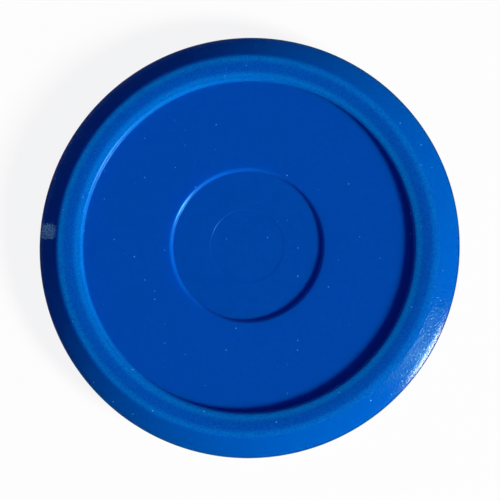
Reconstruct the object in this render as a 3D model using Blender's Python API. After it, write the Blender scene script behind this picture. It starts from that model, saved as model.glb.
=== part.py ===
"""Air hockey puck lying on its lower running face. Metres, +Z up, origin under its centre.

Two like half mouldings lie back to back and meet at mid-height. Each half has a raised rim with
a flat running face, a bevelled outer edge, a sunken floor and a shallow round recess in its middle.
Three pins on the back of each half enter three sockets in the back of the other.
"""

import math

import bmesh
import bpy
from mathutils import Matrix, Vector

MM = 0.001

# Whole puck
OUTER_DIAMETER = 82.5 * MM
THICKNESS = 6.4 * MM
BOND_LINE = 0.05 * MM

# Outer edge of a half, where the bevel grows steeper towards the edge
BEVEL_WIDTH = 3.95 * MM
BEVEL_ANGLE = math.radians(28.5)
CROWN_WIDTH = 0.92 * MM
CROWN_ANGLE = math.radians(34.0)
CROWN_ROUND = 14.0 * MM
EDGE_ROUND = 0.8 * MM
PARTING_ROUND = 0.15 * MM

# Raised rim of a half
RIM_WIDTH = 4.88 * MM
RIM_OUTER_ROUND = 2.0 * MM
RIM_INNER_ROUND = 0.6 * MM
RIM_WALL_ANGLE = math.radians(87.0)
RIM_WALL_FILLET = 0.2 * MM

# Sunken floor and middle of a half
FLOOR_DEPTH = 1.27 * MM
RECESS_DIAMETER = 30.0 * MM
RECESS_DEPTH = 0.6 * MM
RECESS_WALL_ANGLE = math.radians(56.0)
RECESS_ROUND = 0.35 * MM
RECESS_FILLET = 0.15 * MM
GATE_MARK_DIAMETER = 14.4 * MM
GATE_MARK_DEPTH = 0.05 * MM

# Pins and sockets on the back of a half
PIN_COUNT = 3
PIN_DIAMETER = 3.0 * MM
PIN_LENGTH = 1.5 * MM
PIN_CHAMFER = 0.3 * MM
PIN_ROOT = 0.5 * MM
PIN_SIDE_CLEARANCE = 0.15 * MM
PIN_END_CLEARANCE = 0.3 * MM

# Facets
TURNED_STEPS = 80
PIN_STEPS = 20
ARC_SAGITTA = 0.0125 * MM
WELD_DISTANCE = 0.001 * MM
SHARP_ANGLE = math.radians(35.0)

# Finish
MOULDED_BLUE = (0.0, 0.055, 0.366, 1.0)
MOULDED_ROUGHNESS = 0.35

# Worked out from the values above, with heights measured from the puck's mid-height
OUTER_RADIUS = OUTER_DIAMETER / 2
FACE_HEIGHT = THICKNESS / 2
BACK_HEIGHT = BOND_LINE / 2
FLOOR_HEIGHT = FACE_HEIGHT - FLOOR_DEPTH
RECESS_HEIGHT = FLOOR_HEIGHT - RECESS_DEPTH
CROWN_RADIUS = OUTER_RADIUS - CROWN_WIDTH
CROWN_HEIGHT = FACE_HEIGHT - (BEVEL_WIDTH - CROWN_WIDTH) * math.tan(BEVEL_ANGLE)
EDGE_HEIGHT = CROWN_HEIGHT - CROWN_WIDTH * math.tan(CROWN_ANGLE)
RIM_OUTER_RADIUS = OUTER_RADIUS - BEVEL_WIDTH
RIM_INNER_RADIUS = RIM_OUTER_RADIUS - RIM_WIDTH
FLOOR_RADIUS = RIM_INNER_RADIUS - FLOOR_DEPTH / math.tan(RIM_WALL_ANGLE)
RECESS_RADIUS = RECESS_DIAMETER / 2
RECESS_FOOT_RADIUS = RECESS_RADIUS - RECESS_DEPTH / math.tan(RECESS_WALL_ANGLE)
GATE_MARK_RADIUS = GATE_MARK_DIAMETER / 2
PIN_RADIUS = PIN_DIAMETER / 2
PIN_CIRCLE_RADIUS = (RIM_OUTER_RADIUS + RIM_INNER_RADIUS) / 2
PIN_PITCH = math.tau / PIN_COUNT
SOCKET_RADIUS = PIN_RADIUS + PIN_SIDE_CLEARANCE
SOCKET_DEPTH = PIN_LENGTH - BOND_LINE + PIN_END_CLEARANCE


def clear_scene():
    """Remove every object of the scene."""
    for old in list(bpy.data.objects):
        bpy.data.objects.remove(old, do_unlink=True)


def moulded_plastic(name):
    """Blue moulded plastic."""
    material = bpy.data.materials.new(name)
    material.use_nodes = True
    shader = material.node_tree.nodes["Principled BSDF"]
    shader.inputs["Base Color"].default_value = MOULDED_BLUE
    shader.inputs["Roughness"].default_value = MOULDED_ROUGHNESS
    shader.inputs["Metallic"].default_value = 0.0
    return material


def corner_arc(corner, to_before, to_after, reach):
    """Points of the arc that joins the two sides of a corner, each at a given reach along its side.

    An arc's chord stands off by about radius * angle**2 / 8, which sets the number of chords.
    """
    half_opening = to_before.angle(to_after) / 2
    centre = corner + (to_before + to_after).normalized() * reach / math.cos(half_opening)
    start = corner + to_before * reach - centre
    end = corner + to_after * reach - centre
    turn = -start.angle_signed(end)
    steps = max(2, math.ceil(abs(turn) * math.sqrt(start.length / ARC_SAGITTA / 8)))
    return [centre + Matrix.Rotation(turn * step / steps, 2) @ start for step in range(steps + 1)]


def rounded_outline(corners):
    """Outline through (radius, height, rounding) corners, with an arc at each corner that is rounded.

    Two arcs that need more than the side between them shrink alike until they share it.
    """
    places = [Vector((radius, height)) for radius, height, _ in corners]
    sides = [end - start for start, end in zip(places, places[1:])]
    reaches = [0.0]
    for side, next_side, (_, _, rounding) in zip(sides, sides[1:], corners[1:]):
        reaches.append(rounding / math.tan(next_side.angle(-side) / 2))
    reaches.append(0.0)
    shares = [min(1.0, side.length / max(near + far, side.length))
              for side, near, far in zip(sides, reaches, reaches[1:])]
    outline = [places[0]]
    for index in range(1, len(places) - 1):
        if reaches[index] > 0:
            before = -sides[index - 1].normalized()
            after = sides[index].normalized()
            reach = reaches[index] * min(shares[index - 1], shares[index])
            outline += corner_arc(places[index], before, after, reach)
        else:
            outline.append(places[index])
    return outline + [places[-1]]


def turned_mesh(name, outline, steps):
    """Closed mesh made by spinning an outline, whose two ends lie on the Z axis, once around that axis."""
    mesh = bpy.data.meshes.new(name)
    shape = bmesh.new()
    points = [shape.verts.new((radius, 0.0, height)) for radius, height in outline]
    edges = [shape.edges.new(pair) for pair in zip(points, points[1:])]
    bmesh.ops.spin(shape, geom=points + edges, cent=(0, 0, 0), axis=(0, 0, 1), angle=math.tau,
                   steps=steps, use_merge=True, use_duplicate=False)
    bmesh.ops.remove_doubles(shape, verts=shape.verts, dist=WELD_DISTANCE)
    bmesh.ops.recalc_face_normals(shape, faces=shape.faces)
    shape.to_mesh(mesh)
    shape.free()
    mesh.shade_smooth()
    mesh.set_sharp_from_angle(angle=SHARP_ANGLE)
    return mesh


def half_outline():
    """Section of a half, from the middle of its face out to its edge and back along its back."""
    return rounded_outline([
        (0.0, RECESS_HEIGHT - GATE_MARK_DEPTH, 0.0),
        (GATE_MARK_RADIUS - GATE_MARK_DEPTH, RECESS_HEIGHT - GATE_MARK_DEPTH, 0.0),
        (GATE_MARK_RADIUS, RECESS_HEIGHT, 0.0),
        (RECESS_FOOT_RADIUS, RECESS_HEIGHT, RECESS_FILLET),
        (RECESS_RADIUS, FLOOR_HEIGHT, RECESS_ROUND),
        (FLOOR_RADIUS, FLOOR_HEIGHT, RIM_WALL_FILLET),
        (RIM_INNER_RADIUS, FACE_HEIGHT, RIM_INNER_ROUND),
        (RIM_OUTER_RADIUS, FACE_HEIGHT, RIM_OUTER_ROUND),
        (CROWN_RADIUS, CROWN_HEIGHT, CROWN_ROUND),
        (OUTER_RADIUS, EDGE_HEIGHT, EDGE_ROUND),
        (OUTER_RADIUS, BACK_HEIGHT, PARTING_ROUND),
        (0.0, BACK_HEIGHT, 0.0),
    ])


def pin_outline():
    """Section of a pin with a chamfered tip, which starts inside its half and stands out of the back."""
    tip = BACK_HEIGHT - PIN_LENGTH
    return [
        (0.0, BACK_HEIGHT + PIN_ROOT),
        (PIN_RADIUS, BACK_HEIGHT + PIN_ROOT),
        (PIN_RADIUS, tip + PIN_CHAMFER),
        (PIN_RADIUS - PIN_CHAMFER, tip),
        (0.0, tip),
    ]


def socket_outline():
    """Section of the round cutter of a socket, which starts below the back."""
    return [
        (0.0, BACK_HEIGHT + SOCKET_DEPTH),
        (SOCKET_RADIUS, BACK_HEIGHT + SOCKET_DEPTH),
        (SOCKET_RADIUS, BACK_HEIGHT - PIN_ROOT),
        (0.0, BACK_HEIGHT - PIN_ROOT),
    ]


def ring_of(name, outline, first_angle):
    """Hidden object that holds one turned shape per pin, evenly spaced on the pin circle."""
    single = turned_mesh(name, outline, PIN_STEPS)
    ring = bmesh.new()
    for index in range(PIN_COUNT):
        copied = len(ring.verts)
        ring.from_mesh(single)
        ring.verts.ensure_lookup_table()
        turn = Matrix.Rotation(first_angle + index * PIN_PITCH, 4, "Z")
        place = turn @ Matrix.Translation((PIN_CIRCLE_RADIUS, 0.0, 0.0))
        bmesh.ops.transform(ring, matrix=place, verts=ring.verts[copied:])
    ring.to_mesh(single)
    ring.free()
    tool = bpy.data.objects.new(name, single)
    bpy.context.collection.objects.link(tool)
    tool.hide_render = True
    tool.display_type = "WIRE"
    return tool


def half_moulding(name, turned_over, parent):
    """One half of the puck with its pins and sockets, face up or turned over about X.

    A turned-over half carries its pins where the other half has its sockets, because the first
    pin stands a quarter of the pitch from the X axis and the first socket half a pitch further.
    """
    half = bpy.data.objects.new(name, turned_mesh(name, half_outline(), TURNED_STEPS))
    bpy.context.collection.objects.link(half)
    half.data.materials.append(moulded_plastic(name + "_plastic"))
    half.parent = parent
    half.location.z = FACE_HEIGHT
    half.rotation_euler.x = math.pi if turned_over else 0.0
    first_pin = PIN_PITCH / 4
    pins = ring_of(name + "_pin_guide", pin_outline(), first_pin)
    sockets = ring_of(name + "_socket_cutter", socket_outline(), first_pin + PIN_PITCH / 2)
    for tool, operation in ((pins, "UNION"), (sockets, "DIFFERENCE")):
        tool.parent = half
        boolean = half.modifiers.new(tool.name, "BOOLEAN")
        boolean.object = tool
        boolean.operation = operation
        boolean.solver = "EXACT"
    return half


def build_puck():
    """Both halves under one empty at the middle of the lower running face."""
    puck = bpy.data.objects.new("air_hockey_puck", None)
    bpy.context.collection.objects.link(puck)
    half_moulding("upper_half", False, puck)
    half_moulding("lower_half", True, puck)


clear_scene()
build_puck()
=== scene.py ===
"""Looks of an air hockey puck: two blue half mouldings, dressed and lit as in the photograph.

Lengths in the classes are millimetres and are scaled to metres where a mesh, lamp or camera is made.
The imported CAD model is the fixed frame: +Z up, origin under the middle of the lower running face.
"""

import logging
import math
from dataclasses import dataclass
from enum import Enum
from typing import Any, NamedTuple

import bpy
import numpy as np
from mathutils import Matrix, Vector


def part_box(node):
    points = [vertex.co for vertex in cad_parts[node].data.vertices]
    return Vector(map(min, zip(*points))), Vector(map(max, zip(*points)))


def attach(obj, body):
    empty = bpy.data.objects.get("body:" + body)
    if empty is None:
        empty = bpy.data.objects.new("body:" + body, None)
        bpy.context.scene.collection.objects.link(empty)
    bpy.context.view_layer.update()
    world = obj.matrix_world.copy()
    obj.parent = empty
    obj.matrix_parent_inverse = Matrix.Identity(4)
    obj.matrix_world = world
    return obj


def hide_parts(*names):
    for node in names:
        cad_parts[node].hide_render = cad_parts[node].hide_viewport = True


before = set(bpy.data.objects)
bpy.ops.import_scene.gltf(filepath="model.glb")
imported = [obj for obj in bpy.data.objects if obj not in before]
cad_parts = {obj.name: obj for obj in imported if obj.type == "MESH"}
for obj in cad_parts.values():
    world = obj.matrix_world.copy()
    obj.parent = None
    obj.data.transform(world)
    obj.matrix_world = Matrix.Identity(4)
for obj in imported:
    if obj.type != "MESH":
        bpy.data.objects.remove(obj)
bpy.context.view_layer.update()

MM = 0.001
BODY = "root"
NOISE_MEAN = 0.5

Colour = tuple[float, float, float, float]
Range = tuple[float, float]
Socket = bpy.types.NodeSocket
log = logging.getLogger("puck")


class Face(Enum):
    """Which way the running face of a half moulding points."""

    UP = 1
    DOWN = -1


class Corner(NamedTuple):
    """Corner of a turned section.

    Fields: distance from the axis, height over the puck's mid-height, radius of the arc that rounds
    it, and the longest distance between points on the straight run that leads to it.
    """

    radius: float
    height: float
    rounding: float = 0.0
    spacing: float = 1.0


class Band(NamedTuple):
    """Ring of a finish, set off from two radii of the section.

    Fields: distance of the ring's inner edge from the first radius, distance of its outer edge from
    the second, and the width over which each edge fades.
    """

    inner: float
    outer: float
    fade: float


class Pattern(NamedTuple):
    """Noise pattern: its steps per millimetre, its detail and its roughness."""

    scale: float
    detail: float
    roughness: float


class RingPattern(NamedTuple):
    """Noise pattern that runs round the axis.

    Fields: steps per radian round the axis, steps per millimetre of radius, detail and roughness.
    """

    along: float
    across: float
    detail: float
    roughness: float


@dataclass(frozen=True)
class PointSpacing:
    """Longest distances between points on a section's runs and arcs, and how finely an arc turns."""

    mark: float = 0.7
    mark_edge: float = 0.1
    floor: float = 0.6
    recess_wall: float = 0.15
    rim_wall: float = 0.12
    rim: float = 0.16
    edge: float = 0.2
    back: float = 8.0
    arc: float = 0.16
    arc_turn: float = math.radians(4.5)
    fewest_arc_steps: int = 2


@dataclass(frozen=True)
class PuckSection:
    """Sizes of one half's section, with heights over the puck's mid-height.

    They are the CAD model's sizes apart from four forms: the running face is worn to a crest, the
    bevel's outermost band is steeper and narrower with a tighter edge, the recess is slightly
    smaller with a rounder lip, and the gate mark is shallower with rounded edges.
    """

    outer_radius: float
    face_height: float
    back_height: float = 0.025
    bevel_width: float = 3.95
    bevel_angle: float = math.radians(28.5)
    crown_width: float = 0.75
    crown_angle: float = math.radians(36.0)
    crown_round: float = 12.0
    edge_round: float = 0.6
    parting_round: float = 0.15
    rim_width: float = 4.88
    rim_outer_round: float = 2.0
    rim_inner_round: float = 0.6
    rim_wall_angle: float = math.radians(87.0)
    rim_wall_fillet: float = 0.2
    crest_width: float = 2.47
    crest_inner_slope: float = math.radians(6.5)
    crest_outer_slope: float = math.radians(2.0)
    crest_round: float = 25.0
    floor_depth: float = 1.27
    recess_radius: float = 14.95
    recess_depth: float = 0.6
    recess_wall_angle: float = math.radians(56.0)
    recess_round: float = 0.7
    recess_fillet: float = 0.15
    gate_mark_radius: float = 7.2
    gate_mark_depth: float = 0.03
    gate_mark_round: float = 0.04
    spacing: PointSpacing = PointSpacing()

    @classmethod
    def of_node(cls, node: str) -> "PuckSection":
        """Section with the outer radius and face height of a CAD node.

        Args:
            node: Name of the upper half's node, whose back lies at the puck's mid-height.

        Returns:
            The section, with every other size as written above.
        """
        low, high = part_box(node)
        return cls(outer_radius=(high.x - low.x) / 2 / MM, face_height=high.z / 2 / MM)

    @property
    def rim_outer_radius(self) -> float:
        """Radius at which the running face's plane meets the bevel."""
        return self.outer_radius - self.bevel_width

    @property
    def rim_inner_radius(self) -> float:
        """Radius at which the running face's plane meets the rim's inner wall."""
        return self.rim_outer_radius - self.rim_width

    @property
    def floor_height(self) -> float:
        """Height of the sunken floor."""
        return self.face_height - self.floor_depth

    @property
    def floor_radius(self) -> float:
        """Radius at which the floor meets the rim's inner wall."""
        return self.rim_inner_radius - self.floor_depth / math.tan(self.rim_wall_angle)

    @property
    def crest_height(self) -> float:
        """Height of the running face's corner, whose arc just reaches the height of the face.

        The arc tops out lower than the corner by round * (cos(lean) / cos(turn) - 1), where lean is
        half the difference of the slopes on its two sides and turn is half their sum.

        Returns:
            The corner's height.
        """
        lean = (self.crest_inner_slope - self.crest_outer_slope) / 2
        turn = (self.crest_inner_slope + self.crest_outer_slope) / 2
        return self.face_height + self.crest_round * (math.cos(lean) / math.cos(turn) - 1.0)

    @property
    def corners(self) -> list[Corner]:
        """Corners from the middle of the face out to the edge, and back along the back.

        Returns:
            The corners in order, of which the first and the last lie on the axis.
        """
        spacing = self.spacing
        recess_height = self.floor_height - self.recess_depth
        recess_foot = self.recess_radius - self.recess_depth / math.tan(self.recess_wall_angle)
        mark_height = recess_height - self.gate_mark_depth
        mark_foot = self.gate_mark_radius - self.gate_mark_depth
        crest_radius = self.rim_inner_radius + self.crest_width
        inner_height = self.crest_height - self.crest_width * math.tan(self.crest_inner_slope)
        outer_width = self.rim_width - self.crest_width
        outer_height = self.crest_height - outer_width * math.tan(self.crest_outer_slope)
        crown_radius = self.outer_radius - self.crown_width
        bevel_drop = (self.bevel_width - self.crown_width) * math.tan(self.bevel_angle)
        crown_height = self.face_height - bevel_drop
        edge_height = crown_height - self.crown_width * math.tan(self.crown_angle)
        return [
            Corner(0.0, mark_height),
            Corner(mark_foot, mark_height, self.gate_mark_round, spacing.mark),
            Corner(self.gate_mark_radius, recess_height, self.gate_mark_round, spacing.mark_edge),
            Corner(recess_foot, recess_height, self.recess_fillet, spacing.floor),
            Corner(self.recess_radius, self.floor_height, self.recess_round, spacing.recess_wall),
            Corner(self.floor_radius, self.floor_height, self.rim_wall_fillet, spacing.floor),
            Corner(self.rim_inner_radius, inner_height, self.rim_inner_round, spacing.rim_wall),
            Corner(crest_radius, self.crest_height, self.crest_round, spacing.rim),
            Corner(self.rim_outer_radius, outer_height, self.rim_outer_round, spacing.rim),
            Corner(crown_radius, crown_height, self.crown_round, spacing.rim),
            Corner(self.outer_radius, edge_height, self.edge_round, spacing.rim),
            Corner(self.outer_radius, self.back_height, self.parting_round, spacing.edge),
            Corner(0.0, self.back_height, spacing=spacing.back),
        ]

    def outline(self) -> np.ndarray:
        """Points of the section, dense enough to carry wear.

        A rounded corner becomes an arc about a centre on the line that halves the corner, which
        touches each side at rounding / tan(half the opening). A straight run is cut evenly.

        Returns:
            Array of (radius, height) rows.
        """
        corners = self.corners
        places = np.array([(corner.radius, corner.height) for corner in corners])
        parts = [places[:1]]
        for corner, before, place, after in zip(corners[1:-1], places, places[1:], places[2:]):
            arc = self._arc(corner.rounding, before, place, after)
            parts += [self._run(parts[-1][-1], arc[0], corner.spacing), arc[1:]]
        parts.append(self._run(parts[-1][-1], places[-1], corners[-1].spacing))
        return np.concatenate(parts)

    def _arc(self, rounding: float, before: np.ndarray, place: np.ndarray,
             after: np.ndarray) -> np.ndarray:
        """Arc that rounds a corner.

        The arc is centre + start turned evenly from the first touching point to the second.

        Args:
            rounding: Radius of the arc.
            before: Corner before this one.
            place: This corner.
            after: Corner after this one.

        Returns:
            Points of the arc, both ends included.
        """
        back = (before - place) / np.linalg.norm(before - place)
        ahead = (after - place) / np.linalg.norm(after - place)
        half_opening = math.acos(float(np.clip(back @ ahead, -1.0, 1.0))) / 2
        middle = (back + ahead) / np.linalg.norm(back + ahead)
        centre = place + middle * rounding / math.sin(half_opening)
        start = place + back * rounding / math.tan(half_opening) - centre
        end = place + ahead * rounding / math.tan(half_opening) - centre
        turn = math.atan2(start[0] * end[1] - start[1] * end[0], start @ end)
        steps_per_radian = max(1.0 / self.spacing.arc_turn, rounding / self.spacing.arc)
        steps = max(self.spacing.fewest_arc_steps, math.ceil(abs(turn) * steps_per_radian))
        angles = np.linspace(0.0, turn, steps + 1)
        across = np.array([-start[1], start[0]])
        return centre + np.outer(np.cos(angles), start) + np.outer(np.sin(angles), across)

    @staticmethod
    def _run(start: np.ndarray, end: np.ndarray, spacing: float) -> np.ndarray:
        """Straight run cut evenly, without its first point.

        Args:
            start: First point, which the run before already has.
            end: Last point.
            spacing: Longest distance between two points.

        Returns:
            Points after the first.
        """
        count = max(1, math.ceil(float(np.linalg.norm(end - start)) / spacing))
        return np.linspace(start, end, count + 1)[1:]


@dataclass(frozen=True)
class EdgeWear:
    """Small dents that knocks leave along the two outer edges of a half.

    They scatter about an edge by a normal distribution, lie about the rim's outer edge and a line
    just inside the outermost edge, and keep a margin over the back.
    """

    count: int = 70
    scatter: float = 0.12
    edge_inset: float = 0.5
    back_margin: float = 0.3
    depth_range: Range = (0.008, 0.035)
    length_range: Range = (0.15, 0.55)
    width_range: Range = (0.12, 0.3)

    def dents(self, radius: np.ndarray, angle: np.ndarray, edges: Range, seed: int) -> np.ndarray:
        """Depth of the dents on a grid.

        Each dent is depth * exp(-(arc length / its length)**2 - (radial distance / its width)**2),
        and the dents are summed over one array of grid by dents.

        Args:
            radius: Distance of each section point from the axis, as a column.
            angle: Angle of each grid column, as a row.
            edges: Radii of the two edges.
            seed: Seed of this half's random places.

        Returns:
            Depth for each grid point.
        """
        random = np.random.default_rng(seed)
        place_angle = random.uniform(0.0, math.tau, self.count)
        place_radius = random.choice(edges, self.count)
        place_radius = place_radius + random.normal(0.0, self.scatter, self.count)
        depth = random.uniform(*self.depth_range, self.count)
        length = random.uniform(*self.length_range, self.count)
        width = random.uniform(*self.width_range, self.count)
        apart = np.angle(np.exp(1j * (angle[..., None] - place_angle)))
        along = apart * place_radius / length
        across = (radius[..., None] - place_radius) / width
        return (depth * np.exp(-along**2 - across**2)).sum(axis=-1)


class ShaderGraph:
    """Adds shader nodes to a new material and links them."""

    def __init__(self, name: str) -> None:
        """Start a material that holds nothing but its output node.

        Args:
            name: Name of the material.
        """
        self.material = bpy.data.materials.new(name)
        self.material.use_nodes = True
        self.tree = self.material.node_tree
        self.tree.nodes.clear()
        self.output = self.tree.nodes.new("ShaderNodeOutputMaterial")

    def add(self, kind: str, inputs: dict[Any, Any], **settings: Any) -> bpy.types.Node:
        """Add a node.

        Args:
            kind: Type name of the node.
            inputs: Number, colour or socket for each input, by name or index.
            settings: Properties of the node.

        Returns:
            The node.
        """
        node = self.tree.nodes.new(kind)
        for key, value in settings.items():
            setattr(node, key, value)
        for key, value in inputs.items():
            if isinstance(value, Socket):
                self.tree.links.new(value, node.inputs[key])
            else:
                node.inputs[key].default_value = value
        return node

    def surface(self, shader: bpy.types.Node) -> bpy.types.Material:
        """Lead a shader to the output, and give back the finished material."""
        self.tree.links.new(shader.outputs[0], self.output.inputs["Surface"])
        return self.material

    def math(self, operation: str, *values: Any) -> Socket:
        """Result of a Math node on the given numbers or sockets."""
        return self.add("ShaderNodeMath", dict(enumerate(values)), operation=operation).outputs[0]

    def chain(self, operation: str, *values: Any) -> Socket:
        """Result of a Math operation carried on over several values.

        Args:
            operation: Name of the operation.
            values: Numbers or sockets, of which the first is a socket.

        Returns:
            The last node's result.
        """
        result = values[0]
        for value in values[1:]:
            result = self.math(operation, result, value)
        return result

    def total(self, *values: Any) -> Socket:
        """Sum of several numbers or sockets."""
        return self.chain("ADD", *values)

    def product(self, *values: Any) -> Socket:
        """Product of several numbers or sockets."""
        return self.chain("MULTIPLY", *values)

    def vector(self, operation: str, *values: Any) -> Socket:
        """Vector that a Vector Math node gives for the given vectors or sockets."""
        node = self.add("ShaderNodeVectorMath", dict(enumerate(values)), operation=operation)
        return node.outputs["Vector"]

    def measure(self, operation: str, *values: Any) -> Socket:
        """Number that a Vector Math node gives for the given vectors or sockets."""
        node = self.add("ShaderNodeVectorMath", dict(enumerate(values)), operation=operation)
        return node.outputs["Value"]

    def step(self, value: Socket, start: float, end: float) -> Socket:
        """Smooth step from 0 where the value is start to 1 where it is end."""
        inputs = {"Value": value, "From Min": start, "From Max": end}
        return self.add("ShaderNodeMapRange", inputs, interpolation_type="SMOOTHSTEP").outputs[0]

    def ring(self, radius: Socket, first: float, second: float, band: Band) -> Socket:
        """1 on a ring about the axis and 0 elsewhere, with fading edges.

        Args:
            radius: Distance from the axis.
            first: Radius from which the ring's inner edge is set off.
            second: Radius from which the ring's outer edge is set off.
            band: Distances of the two edges from these radii, and the width of their fade.

        Returns:
            The product of a rising and a falling smooth step.
        """
        inner = first + band.inner
        outer = second + band.outer
        rising = self.step(radius, inner - band.fade / 2, inner + band.fade / 2)
        falling = self.step(radius, outer + band.fade / 2, outer - band.fade / 2)
        return self.product(rising, falling)

    def noise(self, vector: Socket, pattern: Pattern) -> Socket:
        """Noise from about 0.2 to 0.8 around its mean."""
        inputs = {"Vector": vector, "Scale": pattern.scale, "Detail": pattern.detail,
                  "Roughness": pattern.roughness}
        return self.add("ShaderNodeTexNoise", inputs).outputs[0]

    def ring_noise(self, heading: Socket, radius: Socket, pattern: RingPattern) -> Socket:
        """Noise whose pattern runs round the axis.

        Its place is the heading times the steps along, lifted by the radius times the steps across.

        Args:
            heading: Unit vector from the axis.
            radius: Distance from the axis.
            pattern: Steps, detail and roughness of the noise.

        Returns:
            The noise.
        """
        turned = self.vector("MULTIPLY", heading, (pattern.along, pattern.along, 0.0))
        lift = self.math("MULTIPLY", radius, pattern.across)
        lifted = self.add("ShaderNodeCombineXYZ", {2: lift}).outputs[0]
        place = self.vector("ADD", turned, lifted)
        return self.noise(place, Pattern(1.0, pattern.detail, pattern.roughness))

    def blend(self, factor: Socket, first: Any, second: Any) -> Socket:
        """Colour that goes from the first to the second as the factor goes from 0 to 1."""
        node = self.add("ShaderNodeMix", {0: factor, 6: first, 7: second}, data_type="RGBA")
        return node.outputs[2]


@dataclass(frozen=True)
class PaintedReflectionPatch:
    """One ragged patch on the upper bevel, rougher than the bevel, painted in a pale colour that stands
    for a reflection of a bright light.

    Its middle is set off outwards from the bevel's middle. A noise moves its edge in and out, and
    another one leaves holes in it.
    """

    # Pale colour of a painted reflection, not a colour of the plastic.
    colour: Colour = (0.42, 0.88, 0.98, 1.0)
    angle: float = math.radians(175.5)
    half_width: float = 1.55
    half_height: float = 1.6
    outward_shift: float = 0.1
    squareness: float = 4.0
    ragged: Pattern = Pattern(2.8, 4.0, 0.8)
    raggedness: float = 5.0
    rim_range: Range = (1.3, 0.5)
    holes: Pattern = Pattern(4.0, 3.0, 0.7)
    hole_range: Range = (0.36, 0.6)
    side_fade: float = 1.0
    height_fade: float = 0.2

    def share(self, graph: ShaderGraph, point: Socket, radius: Socket,
              section: PuckSection) -> Socket:
        """Share of the painted reflection patch at a point.

        The patch is where |out / half height|**squareness + |aside / half width|**squareness plus
        the ragged noise about 0 stays low.

        Args:
            graph: Graph that takes the nodes.
            point: Place in millimetres.
            radius: Distance from the axis.
            section: Sizes that place the bevel.

        Returns:
            Number from 0 to 1.
        """
        spot = (math.cos(self.angle), math.sin(self.angle), 0.0)
        side = (-spot[1], spot[0], 0.0)
        outward = graph.measure("DOT_PRODUCT", point, spot)
        sideways = graph.measure("DOT_PRODUCT", point, side)
        height = graph.add("ShaderNodeSeparateXYZ", {0: point}).outputs[2]
        middle = (section.rim_outer_radius + section.outer_radius) / 2 + self.outward_shift
        out_share = graph.math("DIVIDE", graph.math("SUBTRACT", radius, middle), self.half_height)
        side_share = graph.math("DIVIDE", sideways, self.half_width)
        square = graph.total(
            graph.math("POWER", graph.math("ABSOLUTE", out_share), self.squareness),
            graph.math("POWER", graph.math("ABSOLUTE", side_share), self.squareness))
        ragged = graph.math("MULTIPLY_ADD", graph.noise(point, self.ragged), self.raggedness,
                            -self.raggedness * NOISE_MEAN)
        patch = graph.step(graph.total(square, ragged), *self.rim_range)
        near = graph.product(
            graph.step(outward, 0.0, self.side_fade),
            graph.step(height, section.face_height, section.face_height + self.height_fade))
        return graph.product(patch, near, graph.step(graph.noise(point, self.holes), *self.hole_range))


@dataclass(frozen=True)
class DustSpecks:
    """Tiny specks of several sizes, in a few cells of a flat Voronoi pattern.

    A cell holds a speck where its first chance is high, and its second chance sets the speck's size.
    """

    colour: Colour = (0.09, 0.33, 0.85, 1.0)
    cells_per_mm: float = 0.5
    chosen_range: Range = (0.9, 0.91)
    least_size: float = 0.015
    size_spread: float = 0.055
    softness: float = 0.015
    edge_margin: Range = (0.6, 0.8)

    def share(self, graph: ShaderGraph, point: Socket, radius: Socket,
              section: PuckSection) -> Socket:
        """Share of dust at a point, with none along the outer edge.

        Args:
            graph: Graph that takes the nodes.
            point: Place in millimetres.
            radius: Distance from the axis.
            section: Sizes that give the outer radius.

        Returns:
            Number from 0 to 1.
        """
        cells = graph.add("ShaderNodeTexVoronoi", {"Vector": point, "Scale": self.cells_per_mm},
                          voronoi_dimensions="2D").outputs
        chances = graph.add("ShaderNodeSeparateColor", {0: cells["Color"]}).outputs
        size = graph.math("MULTIPLY_ADD", chances[1], self.size_spread, self.least_size)
        beyond = graph.math("SUBTRACT", cells["Distance"], size)
        inside = graph.step(beyond, self.softness, -self.softness)
        margins = (section.outer_radius - margin for margin in self.edge_margin)
        return graph.product(graph.step(chances[0], *self.chosen_range), inside,
                             graph.step(radius, *margins))


@dataclass(frozen=True)
class Relief:
    """Heights of the bump patterns in millimetres.

    The edge's speckle is negative, because it is taken off the bevel's.
    """

    grain: float = 0.006
    streaks: float = 0.018
    mottle: float = 0.002
    bevel_speckle: float = 0.044
    edge_speckle: float = -0.02
    crease_speckle: float = 0.06


@dataclass(frozen=True)
class Zones:
    """Sockets of the finish: how far a point lies in each ring or spot, and the noise there."""

    running: Socket
    wall: Socket
    bevel: Socket
    crease: Socket
    edge: Socket
    worn: Socket
    painted_reflection: Socket
    dust: Socket
    grain: Socket
    mottle: Socket
    streaks: Socket
    speckle: Socket


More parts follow.
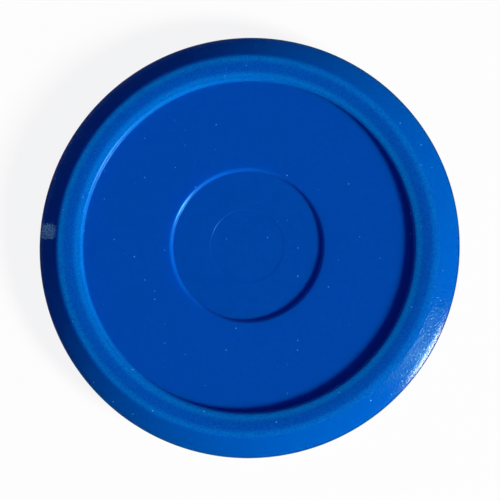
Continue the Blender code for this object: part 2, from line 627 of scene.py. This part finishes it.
@dataclass(frozen=True)
class MouldedPlastic:
    """Through-coloured blue plastic: satin floor, scuffed running face and glossy scratched bevel."""

    name: str = "blue_moulded_plastic"
    floor_blue: Colour = (0.0, 0.0697, 0.4395, 1.0)
    bevel_blue: Colour = (0.0, 0.079, 0.388, 1.0)
    wall_blue: Colour = (0.0, 0.095, 0.41, 1.0)
    scuffed_dark: Colour = (0.0, 0.058, 0.388, 1.0)
    scuffed_light: Colour = (0.0, 0.105, 0.468, 1.0)
    worn_teal: Colour = (0.0, 0.195, 0.565, 1.0)
    gloss_tint: Colour = (0.1, 0.6, 0.9, 1.0)
    wall_tint: Colour = (0.06, 0.19, 0.3, 1.0)
    bevel_tint: Colour = (0.018, 0.118, 0.055, 1.0)
    edge_tint: Colour = (0.085, 0.1, 0.07, 1.0)
    refraction: float = 1.49
    light_inside: float = 0.6
    depth_of_light: tuple[float, float, float] = (2.0, 4.0, 8.0)
    floor_roughness: float = 0.28
    scuffed_roughness: float = 0.36
    bevel_roughness: float = 0.14
    running_band: Band = Band(0.3, -0.15, 0.5)
    wall_band: Band = Band(-0.1, 0.5, 0.3)
    crease_band: Band = Band(-0.1, 0.35, 0.2)
    worn_inner_band: Band = Band(0.5, 1.5, 1.1)
    worn_outer_band: Band = Band(-1.2, -0.1, 1.1)
    worn_outer_share: float = 0.8
    bevel_fade: float = 0.6
    edge_inset: Range = (1.3, 0.3)
    grain: Pattern = Pattern(2.7, 3.0, 0.7)
    grain_range: Range = (0.3, 0.7)
    worn_range: Range = (0.15, 0.75)
    mottle: Pattern = Pattern(0.8, 3.0, 0.6)
    mottle_range: Range = (0.25, 0.75)
    mottle_swing: float = 0.04
    streaks: RingPattern = RingPattern(14.0, 2.4, 3.0, 0.6)
    speckle: RingPattern = RingPattern(130.0, 3.8, 1.0, 0.5)
    relief: Relief = Relief()
    # Pale patch on the upper bevel: a painted reflection of a bright light, with a rougher finish.
    painted_reflection: PaintedReflectionPatch = PaintedReflectionPatch()
    dust: DustSpecks = DustSpecks()

    def material(self, section: PuckSection) -> bpy.types.Material:
        """Material whose zones are rings about the axis, read from Object coordinates.

        Args:
            section: Sizes that give the rings' radii.

        Returns:
            The material.
        """
        graph = ShaderGraph(self.name)
        zones = self._zones(graph, section)
        bump = graph.add("ShaderNodeBump", {
            "Height": self._height(graph, zones), "Distance": MM, "Strength": 1.0})
        return graph.surface(graph.add("ShaderNodeBsdfPrincipled", {
            "Base Color": self._colour(graph, zones), "Roughness": self._roughness(graph, zones),
            "Normal": bump.outputs[0], "IOR": self.refraction, "Specular Tint": self._tint(graph, zones),
            "Subsurface Weight": self.light_inside, "Subsurface Scale": MM,
            "Subsurface Radius": self.depth_of_light}))

    def _zones(self, graph: ShaderGraph, section: PuckSection) -> Zones:
        """Rings, spots and noise that the finish is made of.

        Args:
            graph: Graph that takes the nodes.
            section: Sizes that give the rings' radii.

        Returns:
            The sockets.
        """
        place = graph.add("ShaderNodeTexCoord", {}).outputs["Object"]
        point = graph.vector("MULTIPLY", place, (1 / MM, 1 / MM, 1 / MM))
        flat = graph.vector("MULTIPLY", point, (1.0, 1.0, 0.0))
        radius = graph.measure("LENGTH", flat)
        heading = graph.vector("NORMALIZE", flat)
        rim_in, rim_out = section.rim_inner_radius, section.rim_outer_radius
        half_fade = self.bevel_fade / 2
        edge_radii = (section.outer_radius - inset for inset in self.edge_inset)
        grain = graph.noise(point, self.grain)
        return Zones(
            running=graph.ring(radius, rim_in, rim_out, self.running_band),
            wall=graph.ring(radius, section.floor_radius, rim_in, self.wall_band),
            bevel=graph.step(radius, rim_out - half_fade, rim_out + half_fade),
            crease=graph.ring(radius, rim_out, rim_out, self.crease_band),
            edge=graph.step(radius, *edge_radii),
            worn=self._worn(graph, radius, section, grain),
            painted_reflection=self.painted_reflection.share(graph, point, radius, section),
            dust=self.dust.share(graph, point, radius, section),
            grain=grain,
            mottle=graph.noise(point, self.mottle),
            streaks=graph.ring_noise(heading, radius, self.streaks),
            speckle=graph.ring_noise(heading, radius, self.speckle))

    def _worn(self, graph: ShaderGraph, radius: Socket, section: PuckSection,
              grain: Socket) -> Socket:
        """Share of worn colour: a mottled band along each edge of the running face.

        Args:
            graph: Graph that takes the nodes.
            radius: Distance from the axis.
            section: Sizes that give the bands' radii.
            grain: Noise that mottles the bands.

        Returns:
            Number from 0 to 1.
        """
        rim_in, rim_out = section.rim_inner_radius, section.rim_outer_radius
        inner = graph.ring(radius, rim_in, rim_in, self.worn_inner_band)
        outer = graph.ring(radius, rim_out, rim_out, self.worn_outer_band)
        bands = graph.math("MAXIMUM", inner, graph.product(outer, self.worn_outer_share))
        return graph.product(bands, graph.step(grain, *self.worn_range))

    def _colour(self, graph: ShaderGraph, zones: Zones) -> Socket:
        """Base colour: the floor's mottled blue under that of each other zone, with a painted reflection
        on the upper bevel.

        Args:
            graph: Graph that takes the nodes.
            zones: Sockets of the zones.

        Returns:
            Colour socket.
        """
        floor = graph.blend(graph.step(zones.mottle, *self.mottle_range),
                            self._shade(self.floor_blue, 1.0 - self.mottle_swing),
                            self._shade(self.floor_blue, 1.0 + self.mottle_swing))
        scuffed = graph.blend(graph.step(zones.grain, *self.grain_range),
                              self.scuffed_dark, self.scuffed_light)
        colour = graph.blend(zones.bevel, floor, self.bevel_blue)
        colour = graph.blend(zones.wall, colour, self.wall_blue)
        colour = graph.blend(zones.running, colour, scuffed)
        colour = graph.blend(zones.worn, colour, self.worn_teal)
        # Painted reflection: pale colour on a patch of the upper bevel.
        colour = graph.blend(zones.painted_reflection, colour, self.painted_reflection.colour)
        return graph.blend(zones.dust, colour, self.dust.colour)

    def _roughness(self, graph: ShaderGraph, zones: Zones) -> Socket:
        """Roughness: the floor's, plus each other zone's difference from what lies under it.

        Args:
            graph: Graph that takes the nodes.
            zones: Sockets of the zones.

        Returns:
            Number socket.
        """
        return graph.total(
            graph.product(zones.running, self.scuffed_roughness - self.floor_roughness),
            graph.product(zones.bevel, self.bevel_roughness - self.floor_roughness),
            graph.product(zones.painted_reflection, self.scuffed_roughness - self.bevel_roughness),
            self.floor_roughness)

    def _height(self, graph: ShaderGraph, zones: Zones) -> Socket:
        """Bump height in millimetres: each noise times its zone and its relief, summed.

        Args:
            graph: Graph that takes the nodes.
            zones: Sockets of the zones.

        Returns:
            Number socket.
        """
        speckle_relief = graph.total(
            graph.product(zones.bevel, self.relief.bevel_speckle),
            graph.product(zones.edge, self.relief.edge_speckle),
            graph.product(zones.crease, self.relief.crease_speckle))
        return graph.total(
            graph.product(zones.running, zones.grain, self.relief.grain),
            graph.product(zones.bevel, zones.streaks, self.relief.streaks),
            graph.product(graph.math("SUBTRACT", zones.speckle, NOISE_MEAN), speckle_relief),
            graph.product(zones.mottle, self.relief.mottle))

    def _tint(self, graph: ShaderGraph, zones: Zones) -> Socket:
        """Tint of the gloss, which differs between floor, wall, bevel and edge."""
        inside = graph.blend(zones.wall, self.gloss_tint, self.wall_tint)
        return graph.blend(zones.bevel, inside, graph.blend(zones.edge, self.bevel_tint, self.edge_tint))

    @staticmethod
    def _shade(colour: Colour, factor: float) -> Colour:
        """The colour, lighter or darker by a factor."""
        red, green, blue, alpha = colour
        return (red * factor, green * factor, blue * factor, alpha)


def ring_quads(index: np.ndarray) -> np.ndarray:
    """Quads between neighbouring rows of a grid whose columns close on themselves.

    Args:
        index: Vertex numbers, rows by columns.

    Returns:
        Array of four vertex numbers for each quad.
    """
    ahead = np.roll(index, -1, axis=1)
    return np.stack([index[:-1], index[1:], ahead[1:], ahead[:-1]], axis=-1).reshape(-1, 4)


def smooth_object(name: str, points: np.ndarray, faces: list[list[int]],
                  material: bpy.types.Material) -> bpy.types.Object:
    """Smooth mesh object at the origin, linked to the scene.

    Args:
        name: Name of the mesh and the object.
        points: Places in metres, one row for each vertex.
        faces: Vertex numbers of each face.
        material: Finish of the whole object.

    Returns:
        The object.
    """
    mesh = bpy.data.meshes.new(name)
    mesh.from_pydata(points.tolist(), [], faces)
    mesh.shade_smooth()
    mesh.materials.append(material)
    piece = bpy.data.objects.new(name, mesh)
    bpy.context.scene.collection.objects.link(piece)
    return piece


@dataclass
class HalfMoulding:
    """One half of the puck: the section turned about the axis, with worn edges."""

    name: str
    node: str
    face: Face
    section: PuckSection
    wear: EdgeWear
    seed: int
    columns: int = 400

    def surface(self) -> tuple[np.ndarray, np.ndarray]:
        """Grid of the turned section.

        A point is (radius * cos(angle), radius * sin(angle), height), moved inwards along the
        section's normal by the depth of the wear, and turned over about X for a half that faces down.

        Returns:
            Array of outline rows by angle columns by coordinates, and the two poles.
        """
        outline = self.section.outline()
        angle = np.linspace(0.0, math.tau, self.columns, endpoint=False)
        along = np.gradient(outline, axis=0)
        normal = np.stack([-along[:, 1], along[:, 0]], axis=1)
        normal /= np.linalg.norm(normal, axis=1, keepdims=True)
        edges = (self.section.rim_outer_radius, self.section.outer_radius - self.wear.edge_inset)
        depth = self.wear.dents(outline[:, :1], angle[None, :], edges, self.seed)
        depth *= outline[:, 1:] > self.section.back_height + self.wear.back_margin
        radius = outline[:, :1] - normal[:, :1] * depth
        height = outline[:, 1:] - normal[:, 1:] * depth
        flip = self.face.value
        grid = np.stack([radius * np.cos(angle), flip * radius * np.sin(angle),
                         self.section.face_height + flip * height], axis=-1) * MM
        return grid[1:-1], grid[[0, -1], 0]

    def build(self, plastic: bpy.types.Material) -> bpy.types.Object:
        """Closed mesh object: quads between neighbouring rows, and a fan at each pole.

        Args:
            plastic: Finish of the whole piece.

        Returns:
            The object, at the origin.
        """
        grid, poles = self.surface()
        rows, columns = grid.shape[:2]
        index = np.arange(rows * columns).reshape(rows, columns)
        ahead = np.roll(index, -1, axis=1)
        top = np.full(columns, rows * columns)
        fans = np.concatenate([np.stack([top, index[0], ahead[0]], axis=-1),
                               np.stack([top + 1, ahead[-1], index[-1]], axis=-1)])
        return smooth_object(self.name, np.concatenate([grid.reshape(-1, 3), poles]),
                             ring_quads(index).tolist() + fans.tolist(), plastic)

    def dress(self, piece: bpy.types.Object) -> None:
        """Give the piece its body, and hide the CAD node that it stands for.

        Args:
            piece: Object from build.
        """
        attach(piece, BODY)
        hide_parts(self.node)


@dataclass(frozen=True)
class WhitePaper:
    """White paper that shows plain white with a pale shadow."""

    name: str = "white_paper"
    white: Colour = (0.9, 0.9, 0.9, 1.0)
    bounce_grey: Colour = (0.5, 0.5, 0.5, 1.0)
    shown_white: Colour = (1.0, 1.0, 1.0, 1.0)
    shadow_share: float = 0.11

    def material(self) -> bpy.types.Material:
        """Material that is paper to diffuse light, and mostly even white to sight and reflections.

        Returns:
            The material.
        """
        graph = ShaderGraph(self.name)
        rays = graph.add("ShaderNodeLightPath", {}).outputs
        seen = graph.chain("MAXIMUM", rays["Is Camera Ray"], rays["Is Glossy Ray"],
                           rays["Is Transmission Ray"])
        share = graph.product(seen, 1.0 - self.shadow_share)
        paper = graph.add("ShaderNodeBsdfDiffuse", {
            "Color": graph.blend(seen, self.bounce_grey, self.white)})
        even = graph.add("ShaderNodeEmission", {"Color": self.shown_white, "Strength": 1.0})
        return graph.surface(graph.add("ShaderNodeMixShader", {
            0: share, 1: paper.outputs[0], 2: even.outputs[0]}))


@dataclass
class PaperSweep:
    """Round floor of paper that curves up into a low wall far behind the puck."""

    name: str = "paper_sweep"
    middle_radius: float = 1.0
    floor_radius: float = 2800.0
    curve_radius: float = 200.0
    wall_height: float = 480.0
    columns: int = 96
    curve_points: int = 16

    def build(self, paper: bpy.types.Material) -> bpy.types.Object:
        """Sheet turned about the Z axis: flat out to the floor radius, then a quarter round, then up.

        A small many-sided face inside the middle radius closes the floor.

        Args:
            paper: Finish of the sheet.

        Returns:
            The object.
        """
        bend = np.linspace(0.0, math.pi / 2, self.curve_points)
        curve_out = self.floor_radius + self.curve_radius * np.sin(bend)
        curve_up = self.curve_radius * (1.0 - np.cos(bend))
        radius = np.concatenate([[self.middle_radius], curve_out, curve_out[-1:]])
        height = np.concatenate([[0.0], curve_up, [self.wall_height]])
        angle = np.linspace(0.0, math.tau, self.columns, endpoint=False)
        grid = np.stack([np.outer(radius, np.cos(angle)), np.outer(radius, np.sin(angle)),
                         np.outer(height, np.ones_like(angle))], axis=-1) * MM
        index = np.arange(grid[..., 0].size).reshape(grid.shape[:2])
        faces = ring_quads(index).tolist() + [index[0].tolist()]
        sheet = smooth_object(self.name, grid.reshape(-1, 3), faces, paper)
        return sheet


@dataclass(frozen=True)
class StudioLight:
    """One warm strip lamp from the lower right of the picture, and dim cool light all round.

    The strength is the light that falls on a surface which faces the lamp, as for a sun.
    """

    key_name: str = "key_lamp"
    key_colour: tuple[float, float, float] = (1.0, 0.93, 0.81)
    key_strength: float = 8.14
    key_heading: float = math.radians(-30.0)
    key_elevation: float = math.radians(21.5)
    key_distance: float = 6000.0
    key_breadth: float = math.radians(15.0)
    key_tallness: float = math.radians(9.0)
    fill_name: str = "studio_fill"
    fill_colour: Colour = (0.04, 0.055, 0.2, 1.0)

    def build(self) -> bpy.types.Object:
        """Strip lamp for the key and a plain world for the fill.

        Returns:
            The lamp.
        """
        lamp = bpy.data.lights.new(self.key_name, "AREA")
        lamp.shape = "RECTANGLE"
        lamp.size = 2.0 * self.key_distance * math.tan(self.key_breadth / 2) * MM
        lamp.size_y = 2.0 * self.key_distance * math.tan(self.key_tallness / 2) * MM
        lamp.color = self.key_colour
        lamp.energy = self.key_strength * math.pi * (self.key_distance * MM) ** 2
        key = bpy.data.objects.new(self.key_name, lamp)
        bpy.context.scene.collection.objects.link(key)
        towards = Vector((math.cos(self.key_heading) * math.cos(self.key_elevation),
                          math.sin(self.key_heading) * math.cos(self.key_elevation),
                          math.sin(self.key_elevation)))
        key.location = towards * self.key_distance * MM
        key.rotation_euler = towards.to_track_quat("Z", "Y").to_euler()
        world = bpy.data.worlds.new(self.fill_name)
        world.use_nodes = True
        background = world.node_tree.nodes["Background"]
        background.inputs["Color"].default_value = self.fill_colour
        background.inputs["Strength"].default_value = 1.0
        bpy.context.scene.world = world
        return key


@dataclass(frozen=True)
class PhotoCamera:
    """Camera that frames the puck as the photograph does."""

    name: str = "photo_camera"
    tilt: float = math.radians(7.0)
    heading: float = math.radians(-42.6)
    lens: float = 125.0
    sensor: float = 36.0
    frame_pixels: float = 500.0
    puck_radius_pixels: float = 210.6
    puck_axis_pixels: tuple[float, float] = (247.75, 246.25)

    def build(self, section: PuckSection) -> bpy.types.Object:
        """Camera over the puck, tilted off the vertical, with the picture's up along +Y.

        The distance is lens / sensor * frame width, where the frame's width comes from the puck's
        radius in millimetres and in pixels.

        Args:
            section: Sizes of the puck.

        Returns:
            The camera, set as the scene's own.
        """
        pixel = section.outer_radius / self.puck_radius_pixels
        distance = self.lens / self.sensor * self.frame_pixels * pixel
        back = Vector((math.sin(self.tilt) * math.cos(self.heading),
                       math.sin(self.tilt) * math.sin(self.heading), math.cos(self.tilt)))
        right = Vector((0.0, 1.0, 0.0)).cross(back).normalized()
        up = back.cross(right)
        middle = self.frame_pixels / 2
        target = Vector((0.0, 0.0, section.face_height))
        target += right * (middle - self.puck_axis_pixels[0]) * pixel
        target -= up * (middle - self.puck_axis_pixels[1]) * pixel
        data = bpy.data.cameras.new(self.name)
        data.lens = self.lens
        data.sensor_width = self.sensor
        camera = bpy.data.objects.new(self.name, data)
        bpy.context.scene.collection.objects.link(camera)
        axes = Matrix((right, up, back)).transposed().to_4x4()
        camera.matrix_world = Matrix.Translation((target + back * distance) * MM) @ axes
        bpy.context.scene.camera = camera
        return camera


def main() -> None:
    logging.basicConfig(level=logging.INFO, format="%(name)s: %(message)s")
    bpy.context.scene.view_settings.view_transform = "Standard"
    section = PuckSection.of_node("upper_half")
    plastic = MouldedPlastic().material(section)
    wear = EdgeWear()
    halves = [HalfMoulding("upper_half_moulding", "upper_half", Face.UP, section, wear, seed=11),
              HalfMoulding("lower_half_moulding", "lower_half", Face.DOWN, section, wear, seed=23)]
    for half in halves:
        piece = half.build(plastic)
        half.dress(piece)
        log.info("%s: %d faces, stands for %s", piece.name, len(piece.data.polygons), half.node)
    sheet = PaperSweep().build(WhitePaper().material())
    log.info("%s: stage", sheet.name)
    log.info("%s: key light", StudioLight().build().name)
    log.info("%s: camera", PhotoCamera().build(section).name)


if __name__ == "__main__":
    main()
